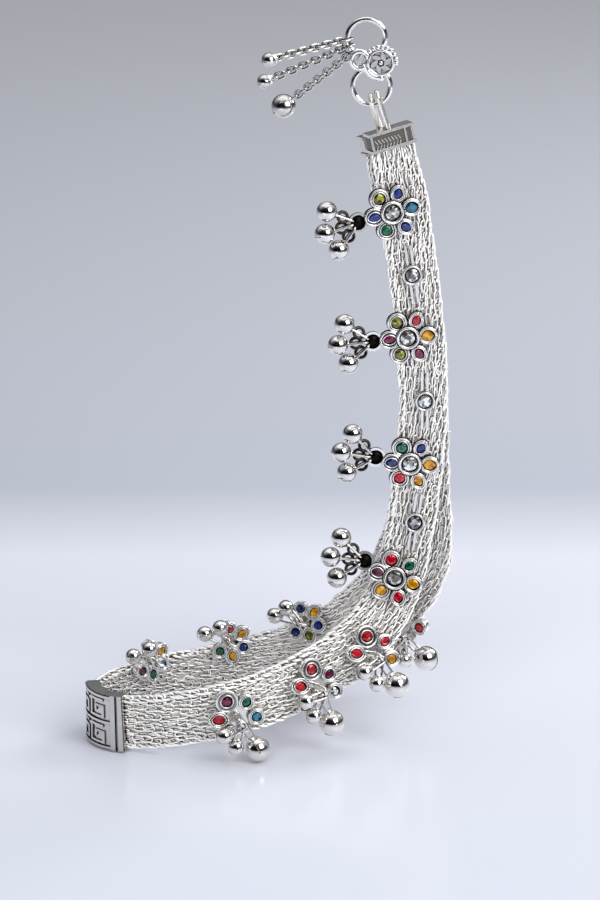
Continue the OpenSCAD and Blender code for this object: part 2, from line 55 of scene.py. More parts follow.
# Sizes that the scene shares with the solids
band_thickness = 1.7
plate_thickness = 0.5
bezel_height = 0.85
stone_gap = 0.07
heart_radius = 2.0
heart_wall = 0.5
round_bezel_radius = 1.65
metal_gap = 0.12
cup_reach = 6.0
cup_height = 0.6
cup_radius = 1.7
cup_wall = 0.4
cup_hook_inset = 0.05
eye_half = 0.75
upper_ring_height = -2.7
upper_ring_reach = 3.15
bezel_top = plate_thickness + bezel_height

# A petal or stone is round where its half length and half width differ by less than this.
round_within = 0.02

# Stations of a strand from its end cap to the fold, as in the solids
# columns:     x      y      z     width  tilt  yaw
STRANDS = {
    "front": [
        (4.2, 0.0, -20.4, 6.7, -11, 20),
        (6.1, 0.1, -29.0, 7.7, -10, 14),
        (7.5, 0.0, -38.5, 7.8, -8, 10),
        (8.7, 0.0, -47.0, 7.8, -6, 8),
        (9.6, 0.0, -56.0, 7.8, -4, 6),
        (10.1, 0.0, -65.0, 7.8, -1, 5),
        (9.8, 0.0, -73.0, 7.8, 3, 4),
        (9.0, 0.0, -80.5, 7.8, 6, 2),
        (8.2, 0.0, -87.5, 7.8, 8, 0),
        (6.9, -0.4, -94.4, 7.9, 14, 0),
        (4.8, -1.6, -100.6, 8.3, 28, 0),
        (1.4, -3.8, -105.8, 8.8, 44, 0),
        (-3.6, -7.0, -109.8, 9.0, 56, 0),
        (-9.6, -10.7, -112.4, 9.1, 66, 0),
        (-16.8, -14.0, -114.8, 9.1, 75, 0),
        (-25.0, -16.3, -116.5, 9.1, 82, 0),
        (-33.6, -15.8, -118.2, 9.0, 88, 0),
        (-39.4, -13.8, -119.3, 8.8, 90, 0),
        (-43.6, -12.3, -119.5, 8.7, 90, 0),
        (-46.0, -9.4, -119.5, 8.7, 90, 0),
        (-46.6, -6.0, -119.5, 8.7, 90, 0),
    ],
    "rear": [
        (3.2, 3.5, -21.6, 6.7, -11, 20),
        (5.3, 3.1, -30.0, 7.6, -10, 14),
        (7.2, 3.0, -38.5, 7.7, -9, 10),
        (8.7, 3.0, -47.0, 7.7, -7, 8),
        (9.8, 3.0, -56.0, 7.7, -5, 6),
        (10.3, 3.0, -65.0, 7.7, -1, 5),
        (10.4, 3.2, -73.0, 7.9, 2, 0),
        (10.3, 3.8, -81.0, 8.8, 6, -5),
        (9.9, 5.0, -88.5, 11.0, 13, -8),
        (9.0, 6.2, -95.5, 13.0, 24, -12),
        (6.2, 8.2, -102.5, 13.5, 40, -18),
        (1.2, 10.6, -108.8, 13.0, 55, -20),
        (-5.0, 12.4, -113.6, 11.5, 66, -16),
        (-12.5, 13.2, -116.8, 10.2, 76, -12),
        (-20.0, 12.8, -118.6, 9.4, 84, -8),
        (-27.5, 11.0, -119.4, 9.0, 90, -4),
        (-34.0, 8.0, -119.5, 9.0, 90, 0),
        (-39.4, 4.4, -119.5, 8.8, 90, 0),
        (-43.7, 0.2, -119.5, 8.7, 90, 0),
        (-46.2, -3.9, -119.5, 8.7, 90, 0),
        (-46.6, -5.7, -119.5, 8.7, 90, 0),
    ],
}
strand_end = 19.94

# The flowers, as in the solids. A cup flower has six petals round a clear heart, and a cup
# from which its bells hang. The others have five petals and a standing eye. The face of the
# band that looks to the front is 1, and the other is -1.
Motif = namedtuple("Motif", "strand station across face kind spin bell_angle fan lift stones")
MOTIFS = [
    Motif("front", 1.28, -2.7, 1, "cup", 184, 186, 188, 0.25, "blue green blue teal blue olive"),
    Motif("front", 3.74, -2.4, 1, "cup", 180, 180, 180, 0.17, "plum olive plum amber red olive"),
    Motif("front", 6.46, -1.8, 1, "cup", 182, 175, 178, 0.18, "blue red amber amber blue green"),
    Motif("front", 9.48, -0.9, 1, "cup", 178, 167, 191, 0.44, "plum amber red amber green red"),
    Motif("front", 11.51, 3.0, 1, "lower", -20, -4, 0, 0.38, "amber red red red clear"),
    Motif("front", 13.00, 1.8, 1, "lower", -4, -4, 0, 0.22, "clear plum red red clear"),
    Motif("front", 14.70, 1.2, 1, "lower", 20, 20, 0, 0.12, "teal green plum red teal"),
    Motif("rear", 10.45, 6.3, 1, "lower", 4, 4, 0, 0.45, "red amber red red clear"),
    Motif("rear", 12.40, -4.9, 1, "inside", 236, 236, 0, 0.50, "blue olive blue amber blue"),
    Motif("rear", 14.43, -5.3, 1, "inside", 240, 240, 0, 0.50, "green amber blue amber red"),
    Motif("rear", 16.86, -5.1, 1, "inside", 245, 245, 0, 0.30, "plum green teal amber red"),
    Motif("rear", 3.70, 0.0, -1, "behind", -90, -90, 0, 0.20, "blue red green amber plum"),
    Motif("rear", 6.30, 0.0, -1, "behind", -90, -90, 0, 0.30, "red green blue plum amber"),
    Motif("rear", 8.80, 0.0, -1, "behind", -90, -90, 0, 0.35, "green amber red blue red"),
]
CUP_FLOWERS = [motif for motif in MOTIFS if motif.kind == "cup"]

# Bells of a flower, by its kind
# columns: turn from the bells' angle, distance from the hook, radius, height
BELLS = {
    "cup": [(-38, 4.3, 1.75, 0), (0, 4.5, 1.75, 0), (38, 4.2, 1.75, 0)],
    "lower": [(0, 5.5, 2.2, 2.5), (-46, 4.1, 1.4, 3.05), (-94, 3.6, 1.4, 3.6)],
    "inside": [(0, 4.6, 1.4, 2.6), (-38, 3.4, 1.4, 3.75)],
    "behind": [(14, 5.5, 2.2, 2.5), (-30, 4.0, 1.4, 3.1)],
}

# Petals of a flower in order, by its kind: distance from the heart, then half length and half
# width of the bezel and of the stone
Petal = namedtuple("Petal", "distance long wide stone_long stone_wide")
LARGE_PETALS = [
    Petal(3.3, 1.327, 1.327, 0.853, 0.853),
    Petal(3.2, 1.264, 1.264, 0.916, 0.727),
    Petal(3.65, 1.849, 1.849, 0.948, 0.948),
    Petal(3.3, 1.738, 1.359, 1.106, 0.822),
    Petal(3.3, 1.612, 1.201, 0.980, 0.695),
]
small_round = Petal(2.5, 1.217, 1.217, 0.758, 0.758)
small_leaf = Petal(2.5, 1.485, 1.169, 0.916, 0.664)
PETALS = {
    "cup": [
        Petal(3.16, 1.564, 1.422, 1.043, 0.695),
        Petal(3.13, 1.533, 1.533, 0.948, 0.948),
        Petal(3.47, 1.501, 1.201, 0.980, 0.758),
        Petal(3.45, 1.533, 1.390, 1.169, 0.948),
        Petal(3.33, 1.422, 1.138, 0.916, 0.727),
        Petal(3.22, 1.548, 1.548, 1.011, 1.011),
    ],
    "lower": LARGE_PETALS,
    "inside": [small_round, small_leaf, small_round, small_leaf, small_round],
    "behind": LARGE_PETALS,
}
petal_turn = 60

# Round bezels on the upright band
# columns: station, across
ROUND_BEZELS = [(2.53, -0.5), (5.04, 0.1), (7.95, 0.56)]

# Bells of the fringe
# columns: angle on the upper ring, fall, swing to the front, distance from the ring, radius
FRINGE_BELLS = [
    (184, 10, 22, 14.33, 1.25),
    (206, 23, 0, 15.43, 1.25),
    (228, 39, -22, 16.28, 2.1),
]


def blend4(a, b, c, d, t):
    """Smooth curve through b and c."""
    square = 2 * a - 5 * b + 4 * c - d
    return 0.5 * (2 * b + (c - a) * t + square * t * t + (3 * b - a - 3 * c + d) * t**3)


def station(rows, u):
    """Row of a strand's table at u, which counts in rows."""
    last = len(rows) - 1
    i = max(0, min(int(u), last - 1))
    near = [np.array(rows[max(0, min(k, last))], float) for k in range(i - 1, i + 3)]
    return blend4(*near, u - i)


def unit(v):
    return v / np.linalg.norm(v)


def strand_frame(rows, u):
    """Position, direction along, direction across, normal to the front and width at u."""
    last = len(rows) - 1
    step = 0.02
    *place, width, tilt, yaw = station(rows, u)
    along = unit(station(rows, min(u + step, last))[:3] - station(rows, max(u - step, 0))[:3])
    tilt, yaw = math.radians(tilt), math.radians(yaw)
    wide = np.array(
        [math.cos(tilt) * math.cos(yaw), math.sin(yaw), -math.sin(tilt) * math.cos(yaw)]
    )
    across = unit(wide - along * wide.dot(along))
    return np.array(place), along, across, np.cross(along, across), width


def columns_to_matrix(x, y, z, place):
    """Matrix that takes the axes to x, y and z and the origin to place."""
    return Matrix([[x[i], y[i], z[i], place[i]] for i in range(3)] + [[0, 0, 0, 1]])


def seat(strand, u, across, lift, face):
    """Frame on a band: X across, Y back along it, Z out of the face."""
    place, along, wide, normal, _ = strand_frame(STRANDS[strand], u)
    height = face * (band_thickness / 2 + lift)
    return columns_to_matrix(
        wide * face, -along, normal * face, place + wide * across + normal * height
    )


def turned(axis, degrees):
    return Matrix.Rotation(math.radians(degrees), 4, axis)


def moved(x, y=0, z=0):
    return Matrix.Translation((x, y, z))


def motif_seat(motif):
    return seat(motif.strand, motif.station, motif.across, motif.lift, motif.face)


def bell_hooks():
    """Frame of every flower's bell at the round end of its loop, with its reach, radius and kind.

    The bell's loop lies in X and Y, and the bell is out on X.
    """
    cup_middle = plate_thickness + cup_height / 2
    rim_reach = cup_radius - cup_wall / 2 - cup_hook_inset
    found = []
    for motif in MOTIFS:
        base = motif_seat(motif) @ turned("Z", motif.bell_angle)
        for turn, reach, radius, height in BELLS[motif.kind]:
            if motif.kind == "cup":
                to_bell = turned("Z", motif.fan - motif.bell_angle + turn)
                hook = base @ moved(cup_reach, 0, cup_middle) @ to_bell @ moved(rim_reach)
                hook = hook @ turned("X", 90)
            else:
                hook = base @ moved(eye_half, 0, height) @ turned("Z", turn)
            found.append((hook, reach, radius, motif.kind))
    return found


def bell_frames(turn=0):
    """Frame at the middle of every flower's bell, turned about X and as large as its radius."""
    return [
        hook @ moved(reach) @ turned("X", turn) @ Matrix.Scale(radius, 4)
        for hook, reach, radius, _ in bell_hooks()
    ]


def fringe_hooks():
    """Frame of every fringe bell, out on X from its centre, with its radius."""
    found = []
    for angle, fall, swing, reach, radius in FRINGE_BELLS:
        turn = math.radians(angle)
        start = moved(
            upper_ring_reach * math.cos(turn),
            0,
            upper_ring_height + upper_ring_reach * math.sin(turn),
        )
        line = start @ turned("Z", 180 + swing) @ turned("Y", fall)
        found.append((line @ moved(reach), radius))
    return found


def petals_in_place():
    """Every petal as its frame, its sizes, its stone and its flower's kind."""
    found = []
    for motif in MOTIFS:
        base = motif_seat(motif)
        first = 0 if motif.kind == "cup" else 1
        for k, (petal, stone) in enumerate(zip(PETALS[motif.kind], motif.stones.split())):
            place = base @ turned("Z", motif.spin + petal_turn * (k + first))
            found.append((place @ moved(petal.distance), petal, stone, motif.kind))
    return found


def round_bezel_seats():
    return [seat("front", u, across, metal_gap, 1) for u, across in ROUND_BEZELS]


# Materials


def linear(hex_colour):
    """Linear colour of an sRGB hex value."""
    parts = [int(hex_colour[i : i + 2], 16) / 255 for i in (1, 3, 5)]
    return [p / 12.92 if p <= 0.04045 else ((p + 0.055) / 1.055) ** 2.4 for p in parts] + [1.0]


def add_node(tree, kind, sockets=None, stops=(), **settings):
    """Adds a node with its settings. A socket is given a value, or another node's socket.

    The stops of a colour ramp are pairs of a place and a hex colour.
    """
    made = tree.nodes.new(kind)
    for name, value in settings.items():
        setattr(made, name, value)
    for k, (place, colour) in enumerate(stops):
        elements = made.color_ramp.elements
        element = elements[k] if k < len(elements) else elements.new(1.0)
        element.position = place
        element.color = linear(colour)
    for name, value in (sockets or {}).items():
        if isinstance(value, bpy.types.NodeSocket):
            tree.links.new(value, made.inputs[name])
        else:
            made.inputs[name].default_value = value
    return made


def new_material(name):
    """Material with an empty node tree, ready for its own shader."""
    material = bpy.data.materials.new(name)
    material.use_nodes = True
    material.node_tree.nodes.clear()
    return material, material.node_tree


def finish_material(tree, sockets):
    """Gives a material its shader and its output."""
    shader = add_node(tree, "ShaderNodeBsdfPrincipled", sockets)
    add_node(tree, "ShaderNodeOutputMaterial", {"Surface": shader.outputs["BSDF"]})


def silver(name, bright, dark, reach, roughness, grain, bump, metal=1.0, shut=0.15):
    """Silver: bright where it is open, and darker in its recesses by ambient occlusion. On
    polished parts this darkening is painted shade; the black in antiqued engraving is the
    silver's own.

    reach is how deep a recess darkens and grain the size of its scratches, both in mm. The
    real scratches are finer, and these are as coarse as they have to be to show. A metal of
    less than 1 gives the chalky white of pickled silver. shut is how open a recess may be and
    still be all dark.
    """
    scratch_depth = 0.02
    smoothest, roughest = roughness * 0.6, roughness * 1.5
    bright_from = max(0.75, shut + 0.4)
    material, tree = new_material(name)
    place = add_node(tree, "ShaderNodeTexCoord").outputs["Object"]
    open_sky = add_node(
        tree, "ShaderNodeAmbientOcclusion", {"Distance": reach * MM}, samples=8
    ).outputs["AO"]
    # Painted shade by ambient occlusion: dark in recesses, bright where open
    colour = add_node(
        tree, "ShaderNodeValToRGB", {"Fac": open_sky}, [(shut, dark), (bright_from, bright)]
    ).outputs["Color"]
    scratches = add_node(
        tree, "ShaderNodeTexNoise", {"Vector": place, "Scale": 1 / (grain * MM), "Detail": 3.0}
    ).outputs["Fac"]
    rough = add_node(
        tree,
        "ShaderNodeMapRange",
        {"Value": scratches, "To Min": smoothest, "To Max": roughest},
    ).outputs["Result"]
    relief = add_node(
        tree,
        "ShaderNodeBump",
        {"Height": scratches, "Strength": bump, "Distance": scratch_depth * MM},
    ).outputs["Normal"]
    finish_material(
        tree, {"Base Color": colour, "Metallic": metal, "Roughness": rough, "Normal": relief}
    )
    return material


def foiled_glass(name, body, flash, foil):
    """Cut glass with foil behind it: saturated, with lighter patches of painted flash where light
    off the facets and the foil would show.
    """
    flash_size = 0.55
    material, tree = new_material(name)
    place = add_node(tree, "ShaderNodeTexCoord").outputs["Object"]
    facets = add_node(
        tree,
        "ShaderNodeTexVoronoi",
        {"Vector": place, "Scale": 1 / (flash_size * MM), "Randomness": 1.0},
    ).outputs["Color"]
    level = add_node(tree, "ShaderNodeSeparateColor", {"Color": facets}).outputs["Red"]
    # Painted flash: random cells turn towards the lighter flash colour
    colour = add_node(
        tree, "ShaderNodeValToRGB", {"Fac": level}, [(0.25, body), (0.9, flash)]
    ).outputs["Color"]
    finish_material(
        tree,
        {
            "Base Color": colour,
            "Metallic": foil,
            "Roughness": 0.1,
            "Coat Weight": 1.0,
            "Coat Roughness": 0.02,
        },
    )
    return material


def floor_gloss():
    """Polished white laminate, its tone painted by depth as light and shade: lilac grey near,
    pale behind the anklet's foot, then a grey band.

    It grows white far behind.
    """
    near, far = -80, 720
    material, tree = new_material("polished_white_laminate")
    place = add_node(tree, "ShaderNodeTexCoord").outputs["Object"]
    depth = add_node(tree, "ShaderNodeSeparateXYZ", {"Vector": place}).outputs["Y"]
    share = add_node(
        tree, "ShaderNodeMapRange", {"Value": depth, "From Min": near * MM, "From Max": far * MM}
    ).outputs["Result"]
    # Painted light and shade by depth
    stops = [
        (0.0, "#cdd1dc"),
        (0.12, "#dee1eb"),
        (0.215, "#ebedf7"),
        (0.27, "#c9cdd9"),
        (1.0, "#f9fbff"),
    ]
    colour = add_node(tree, "ShaderNodeValToRGB", {"Fac": share}, stops).outputs["Color"]
    finish_material(tree, {"Base Color": colour, "Roughness": 0.16, "Specular IOR Level": 0.3})
    return material


# Curb chain of pickled wire: chalky white on the crowns of its links, with warm grey painted
# shade between them
chain_silver = silver(
    "woven_curb_chain_silver",
    bright="#fdfbf8",
    dark="#5c544d",
    reach=0.55,
    roughness=0.22,
    grain=0.25,
    bump=0.3,
    metal=0.5,
    shut=0.38,
)

# Stand-in for the chain inside the band, never polished: its dull grey is painted shade of the
# deeper chain, so that the gaps of the weave look deep
core_silver = silver(
    "shaded_inner_chain_silver",
    bright="#d9d4cf",
    dark="#8f8780",
    reach=0.5,
    roughness=0.5,
    grain=0.3,
    bump=0.5,
    metal=0.3,
)

# Cast and polished bezels and cups: sharp highlights, with nearly black painted shade in joints
# and recesses
cast_finish = silver(
    "polished_cast_silver",
    bright="#f6f4f1",
    dark="#1c1815",
    reach=0.7,
    roughness=0.15,
    grain=0.6,
    bump=0.3,
    metal=0.9,
    shut=0.38,
)

# Engraved plate, blackened and rubbed back: grey faces, with black in the spirals
plate_finish = silver(
    "antiqued_plate_silver",
    bright="#d9d5d0",
    dark="#15110e",
    reach=1.3,
    roughness=0.2,
    grain=0.4,
    bump=0.9,
    metal=1.0,
    shut=0.4,
)

# Cast end caps, filed and polished: bright edges, with a slightly grainy face and nearly black
# painted shade in recesses
cap_finish = silver(
    "cast_cap_silver",
    bright="#ebe8e2",
    dark="#1c1815",
    reach=0.7,
    roughness=0.17,
    grain=0.5,
    bump=0.6,
    metal=0.8,
    shut=0.38,
)

# Oxidised ground of the cap: mid grey and dull, so that the bright hatching stands out. The same
# grey is painted shade on the cap's left side
panel_finish = silver(
    "oxidised_and_shaded_panel_silver",
    bright="#6f6a64",
    dark="#1d1916",
    reach=0.6,
    roughness=0.35,
    grain=0.35,
    bump=0.9,
    metal=0.8,
    shut=0.3,
)

# Drawn wire links of the fringe: bright outside, with nearly black painted shade where they touch
link_finish = silver(
    "shaded_fringe_link_silver",
    bright="#d6d3ce",
    dark="#0e0c0a",
    reach=1.2,
    roughness=0.16,
    grain=0.6,
    bump=0.2,
    metal=1.0,
    shut=0.35,
)

# Bells spun from thin sheet and buffed: the smoothest metal here, which mirrors the studio, with
# darker painted shade in recesses
bell_finish = silver(
    "spun_bell_silver",
    bright="#ebe8e3",
    dark="#3e3832",
    reach=0.5,
    roughness=0.1,
    grain=1.2,
    bump=0.06,
)

# Jump rings darkened by sulphide: dark grey with a thin shine. The same dark grey is painted
# shade in the bezels' grooves and round their feet
dark_ring = silver(
    "oxidised_ring_and_shade_silver",
    bright="#45403b",
    dark="#100e0c",
    reach=0.5,
    roughness=0.22,
    grain=0.6,
    bump=0.2,
)

# Near-black painted shade, for the inside of a bell seen through its slit and the hollow of a
# cup: reads as a hole or a slit
blackened = silver(
    "painted_shade_black",
    bright="#1b1917",
    dark="#0c0b0a",
    reach=0.5,
    roughness=0.4,
    grain=0.4,
    bump=0.3,
)

# Glass of the stones: its body and its painted flashes, lighter patches that stand for light
# caught by the facets and the foil. Clear glass shows most of its foil.
STONES = {
    "clear": ("#605f5d", "#ffffff"),
    "blue": ("#020a3c", "#092c7c"),
    "teal": ("#033446", "#146a84"),
    "green": ("#012c22", "#0a6846"),
    "red": ("#780310", "#bc1024"),
    "plum": ("#38051f", "#761340"),
    "amber": ("#925a04", "#cc9a0c"),
    "olive": ("#282c08", "#908e24"),
}
clear_foil = 0.85
coloured_foil = 0.2
stone_glass = {
    name: foiled_glass(
        f"foiled_{name}_glass", body, flash, clear_foil if name == "clear" else coloured_foil
    )
    for name, (body, flash) in STONES.items()
}


# How pieces are made


def link_object(name, mesh, material, replaced=()):
    """Shows a finished mesh as a piece that rides with the anklet."""
    piece = bpy.data.objects.new(name, mesh)
    bpy.context.scene.collection.objects.link(piece)
    mesh.materials.clear()
    mesh.materials.append(material)
    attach(piece, "root")
    if replaced:
        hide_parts(*replaced)


def mesh_of(bm, name, smooth=True):
    """Mesh of a bmesh in millimetres, its faces outwards."""
    bmesh.ops.recalc_face_normals(bm, faces=bm.faces)
    bmesh.ops.scale(bm, vec=(MM, MM, MM), verts=bm.verts)
    for face in bm.faces:
        face.smooth = smooth
    mesh = bpy.data.meshes.new(name)
    bm.to_mesh(mesh)
    bm.free()
    return mesh


def join_part(bm, part):
    """Adds a finished part to a bmesh."""
    mesh = bpy.data.meshes.new("part")
    part.to_mesh(mesh)
    part.free()
    bm.from_mesh(mesh)
    bpy.data.meshes.remove(mesh)


def quarter_turn(axis, way=1):
    return Matrix.Rotation(way * math.pi / 2, 3, axis)


def arc_wire(bm, place, centre, reach, start, sweep, height, wire, steps):
    """Round wire bent along an arc: centre is on Y, and the angles start from X."""
    part = bmesh.new()
    ring = bmesh.ops.create_circle(part, segments=7, radius=wire)["verts"]
    bmesh.ops.rotate(part, verts=ring, matrix=quarter_turn("X"))
    bmesh.ops.translate(part, verts=ring, vec=(reach, centre, height))
    middle = Vector((0, centre, 0))
    to_start = Matrix.Rotation(math.radians(start), 3, "Z")
    bmesh.ops.rotate(part, verts=ring, cent=middle, matrix=to_start)
    edges = part.edges[:]
    made = bmesh.ops.spin(
        part,
        geom=ring + edges,
        cent=middle,
        axis=(0, 0, 1),
        angle=math.radians(sweep),
        steps=steps,
        use_merge=sweep == 360,
    )
    if sweep < 360:
        last = [item for item in made["geom_last"] if isinstance(item, bmesh.types.BMEdge)]
        bmesh.ops.holes_fill(part, edges=edges + last)
    bmesh.ops.transform(part, verts=part.verts, matrix=place)
    join_part(bm, part)


def wire_ring(bm, place, reach, height, wire, steps):
    """Closed ring of round wire about Z."""
    arc_wire(bm, place, 0, reach, 0, 360, height, wire, steps)


def outline_wire(bm, place, long, wide, height, wire):
    """Wire along the outline of a petal: round, or a leaf of two arcs with its points on X."""
    if long - wide < round_within:
        wire_ring(bm, place, long, height, wire, steps=24)
        return
    reach = (long * long + wide * wide) / (2 * wide)
    half = math.degrees(math.asin(long / reach))
    arc_wire(bm, place, wide - reach, reach, 90 - half, 2 * half, height, wire, 12)
    arc_wire(bm, place, reach - wide, reach, 270 - half, 2 * half, height, wire, 12)


def scatter(name, template, frames):
    """One mesh of a template repeated at each frame, in millimetres."""
    verts = np.array([v.co for v in template.vertices], float) / MM
    loops = np.array([v.vertex_index for v in template.loops])
    sizes = np.array([len(p.vertices) for p in template.polygons])
    turns = np.array([np.array(f)[:3, :3] for f in frames])
    places = np.array([np.array(f)[:3, 3] for f in frames])
    all_verts = (np.einsum("nij,vj->nvi", turns, verts) + places[:, None]) * MM
    shifts = np.arange(len(frames)) * len(verts)
    mesh = bpy.data.meshes.new(name)
    mesh.vertices.add(all_verts.shape[0] * all_verts.shape[1])
    mesh.vertices.foreach_set("co", all_verts.ravel())
    mesh.loops.add(len(loops) * len(frames))
    mesh.loops.foreach_set("vertex_index", (loops[None] + shifts[:, None]).ravel())
    mesh.polygons.add(len(sizes) * len(frames))
    starts = np.concatenate([[0], np.cumsum(np.tile(sizes, len(frames)))[:-1]])
    mesh.polygons.foreach_set("loop_start", starts)
    mesh.polygons.foreach_set("use_smooth", np.ones(len(starts), bool))
    mesh.update(calc_edges=True)
    mesh.validate()
    return mesh


def show_repeated(name, bm, frames, material):
    """Shows a small part of a bmesh at each frame, all as one piece."""
    template = mesh_of(bm, f"{name}_template")
    link_object(name, scatter(name, template, frames), material)


# The woven band

# Rows of curb chain lie on both faces of each strand, and more in the middle. On both strands
# the outer rows are on the face that looks to the front.
link_pitch = 1.6
edge_pitch = 1.5
row_height = 0.42
outer_rows = {"front": 8, "rear": 10}
face_share = 0.8
middle_share = 0.7


def curb_link(length, width, wire, lean):
    """Template of a curb link: an oval of wire, leaned so that it passes over its neighbours."""
    squareness = 3
    reach = width / 2 - wire
    straight = length / 2 - wire - reach
    bm = bmesh.new()
    ring = bmesh.ops.create_circle(bm, segments=5, radius=wire)["verts"]
    bmesh.ops.rotate(bm, verts=ring, matrix=quarter_turn("X"))
    bmesh.ops.translate(bm, verts=ring, vec=(reach, 0, 0))
    bmesh.ops.spin(
        bm,
        geom=bm.verts[:] + bm.edges[:],
        cent=(0, 0, 0),
        axis=(0, 0, 1),
        angle=2 * math.pi,
        steps=10,
        use_merge=True,
    )
    for v in bm.verts:
        turn = math.atan2(v.co.y, v.co.x)
        v.co.x += straight * math.tanh(squareness * math.cos(turn))
        v.co.z += lean * math.sin(2 * turn)
    return mesh_of(bm, "curb_link")


link_template = curb_link(length=2.4, width=1.2, wire=0.17, lean=0.2)
edge_template = curb_link(length=2.5, width=1.55, wire=0.24, lean=0.26)


def stretch(u):
    """Length of a link over its plain length: the upright band's own weight draws it out."""
    bend_starts, bend_length, most = 8, 4, 0.28
    return 1 + most - most * min(max((u - bend_starts) / bend_length, 0), 1)


def row_frames(strand, share, height, pitch, roll, phase, wave):
    """Frames of the links in one row of a strand.

    share is the row's place over half the strand's width, and wave how far it weaves to the
    sides. phase shifts its links along it, in pitches.
    """
    steps, end_room = 500, 0.4
    loose_roll, loose_swing = 26, 9
    narrowest, widest = 0.9, 1.1
    wave_reach, wave_shift = 1.3, 40
    us = [strand_end * k / steps for k in range(steps + 1)]
    stations = [strand_frame(STRANDS[strand], u) for u in us]
    line = np.array([f[0] + f[2] * (share * f[4] / 2) + f[3] * height for f in stations])
    length = np.concatenate([[0], np.cumsum(np.linalg.norm(np.diff(line, axis=0), axis=1))])
    found = []
    wave_start = wave_shift * phase
    at = pitch * (end_room + phase)
    while at < length[-1] - pitch * end_room:
        k = min(int(np.searchsorted(length, at)), steps) - 1
        t = (at - length[k]) / (length[k + 1] - length[k])
        draw = stretch(us[k])
        along = unit(line[k + 1] - line[k])
        across = stations[k][2]
        side = unit(across - along * across.dot(along))
        normal = np.cross(along, side)
        place = line[k] * (1 - t) + line[k + 1] * t
        place = place + side * wave * math.sin(at / wave_reach + wave_start)
        angle = math.radians(roll + dice.uniform(-loose_roll, loose_roll))
        swing = math.radians(dice.uniform(-loose_swing, loose_swing))
        wide = side * math.cos(angle) + normal * math.sin(angle)
        up = np.cross(along, wide)
        ahead = along * math.cos(swing) + wide * math.sin(swing)
        wide = np.cross(up, ahead) * dice.uniform(narrowest, widest)
        found.append(columns_to_matrix(ahead * draw, wide, up, place))
        at += pitch * draw
    return found


def chain_rows(strand, layer, height, count, width, replaced=()):
    """Rows of chain at one height of a strand, spread over a share of its width."""
    lean, wave = 22, 0.36
    frames = []
    for k in range(count):
        share = width * (2 * k / (count - 1) - 1)
        roll = lean if k % 2 else -lean
        frames += row_frames(strand, share, height, link_pitch, roll, dice.random(), wave)
    name = f"weave_{strand}_{layer}"
    link_object(name, scatter(name, link_template, frames), chain_silver, replaced)


def edge_chains(strand):
    """Rope-like chains along both edges of a strand."""
    edge_share, edge_height, lean, phase, wave = 0.93, 0.28, 40, 0.3, 0.05
    frames = []
    for share in (-edge_share, edge_share):
        for side in (1, -1):
            height, roll = side * edge_height, side * lean
            frames += row_frames(strand, share, height, edge_pitch, roll, phase, wave)
    name = f"edge_chains_{strand}"
    link_object(name, scatter(name, edge_template, frames), chain_silver)


def strand_core(strand):
    """Thin shaded sheet in the middle of a strand, which the chains there sink into."""
    inset = 0.6
    bm = bmesh.new()
    made = bmesh.ops.create_grid(bm, x_segments=240, y_segments=4, size=1.0)
    for v in made["verts"]:
        place, _, across, _, width = strand_frame(STRANDS[strand], strand_end * (v.co.x + 1) / 2)
        v.co = Vector(place + across * (v.co.y * (width / 2 - inset)))
    bmesh.ops.recalc_face_normals(bm, faces=bm.faces)
    bmesh.ops.solidify(bm, geom=bm.faces[:], thickness=0.2)
    name = f"core_{strand}"
    link_object(name, mesh_of(bm, name), core_silver)


for strand, rows in outer_rows.items():
    strap = [f"strap_{strand}"]
    chain_rows(strand, "outer", row_height, rows, face_share, strap)
    chain_rows(strand, "inner", -row_height, rows, face_share, strap)
    chain_rows(strand, "middle", 0.0, rows - 1, middle_share)
    edge_chains(strand)
    strand_core(strand)


# Bells. Sizes of what is on a bell are shares of its radius.


def bell_slits():
    """Slit round the far side of each bell, where its two halves meet, painted black as the shade
    inside the bell.
    """
    half_sweep = 55
    bm = bmesh.new()
    arc_wire(
        bm,
        Matrix.Identity(4),
        centre=0,
        reach=1,
        start=-half_sweep,
        sweep=2 * half_sweep,
        height=0,
        wire=0.032,
        steps=14,
    )
    frames = bell_frames()
    frames += [centre @ Matrix.Scale(radius, 4) for centre, radius in fringe_hooks()]
    show_repeated("bell_slits", bm, frames, blackened)


def bell_seams():
    """Raised seam of solder that runs round each bell between its halves."""
    bm = bmesh.new()
    wire_ring(bm, Matrix.Identity(4), reach=0.99, height=0, wire=0.022, steps=28)
    show_repeated("bell_seams", bm, bell_frames(turn=90), bell_finish)


def bell_collars():
    """Turned collar where each bell's loop is soldered on."""
    foot, neck, height = 0.4, 0.22, 0.24
    from_middle = 1.02
    bm = bmesh.new()
    bmesh.ops.create_cone(
        bm, segments=14, radius1=foot, radius2=neck, depth=height, cap_ends=True
    )
    bmesh.ops.bevel(
        bm,
        geom=[edge for edge in bm.edges if len(edge.link_faces) == 2 and edge.is_convex],
        offset=0.04,
        segments=1,
        profile=0.5,
        affect="EDGES",
        material=-1,
    )
    bmesh.ops.rotate(bm, verts=bm.verts, matrix=quarter_turn("Y", -1))
    bmesh.ops.translate(bm, verts=bm.verts, vec=(-from_middle, 0, 0))
    show_repeated("bell_collars", bm, bell_frames(), cast_finish)


def fluted_caps():
    """Fluted cap on each bell of the fringe, which grips the last link of its chain."""
    foot, neck, height = 0.86, 0.4, 0.9
    flutes, flute_depth = 5, 0.14
    from_middle, largest = 0.82, 1.5
    bm = bmesh.new()
    bmesh.ops.create_cone(
        bm, segments=20, radius1=foot, radius2=neck, depth=height, cap_ends=True
    )
    for v in bm.verts:
        flute = 1 + flute_depth * math.cos(flutes * math.atan2(v.co.y, v.co.x))
        v.co.x *= flute
        v.co.y *= flute
    bmesh.ops.rotate(bm, verts=bm.verts, matrix=quarter_turn("Y", -1))
    bmesh.ops.translate(bm, verts=bm.verts, vec=(-from_middle, 0, 0))
    frames = [
        centre @ Matrix.Scale(min(radius, largest), 4) for centre, radius in fringe_hooks()
    ]
    show_repeated("fluted_caps", bm, frames, cast_finish)


# Caps, rings and plates


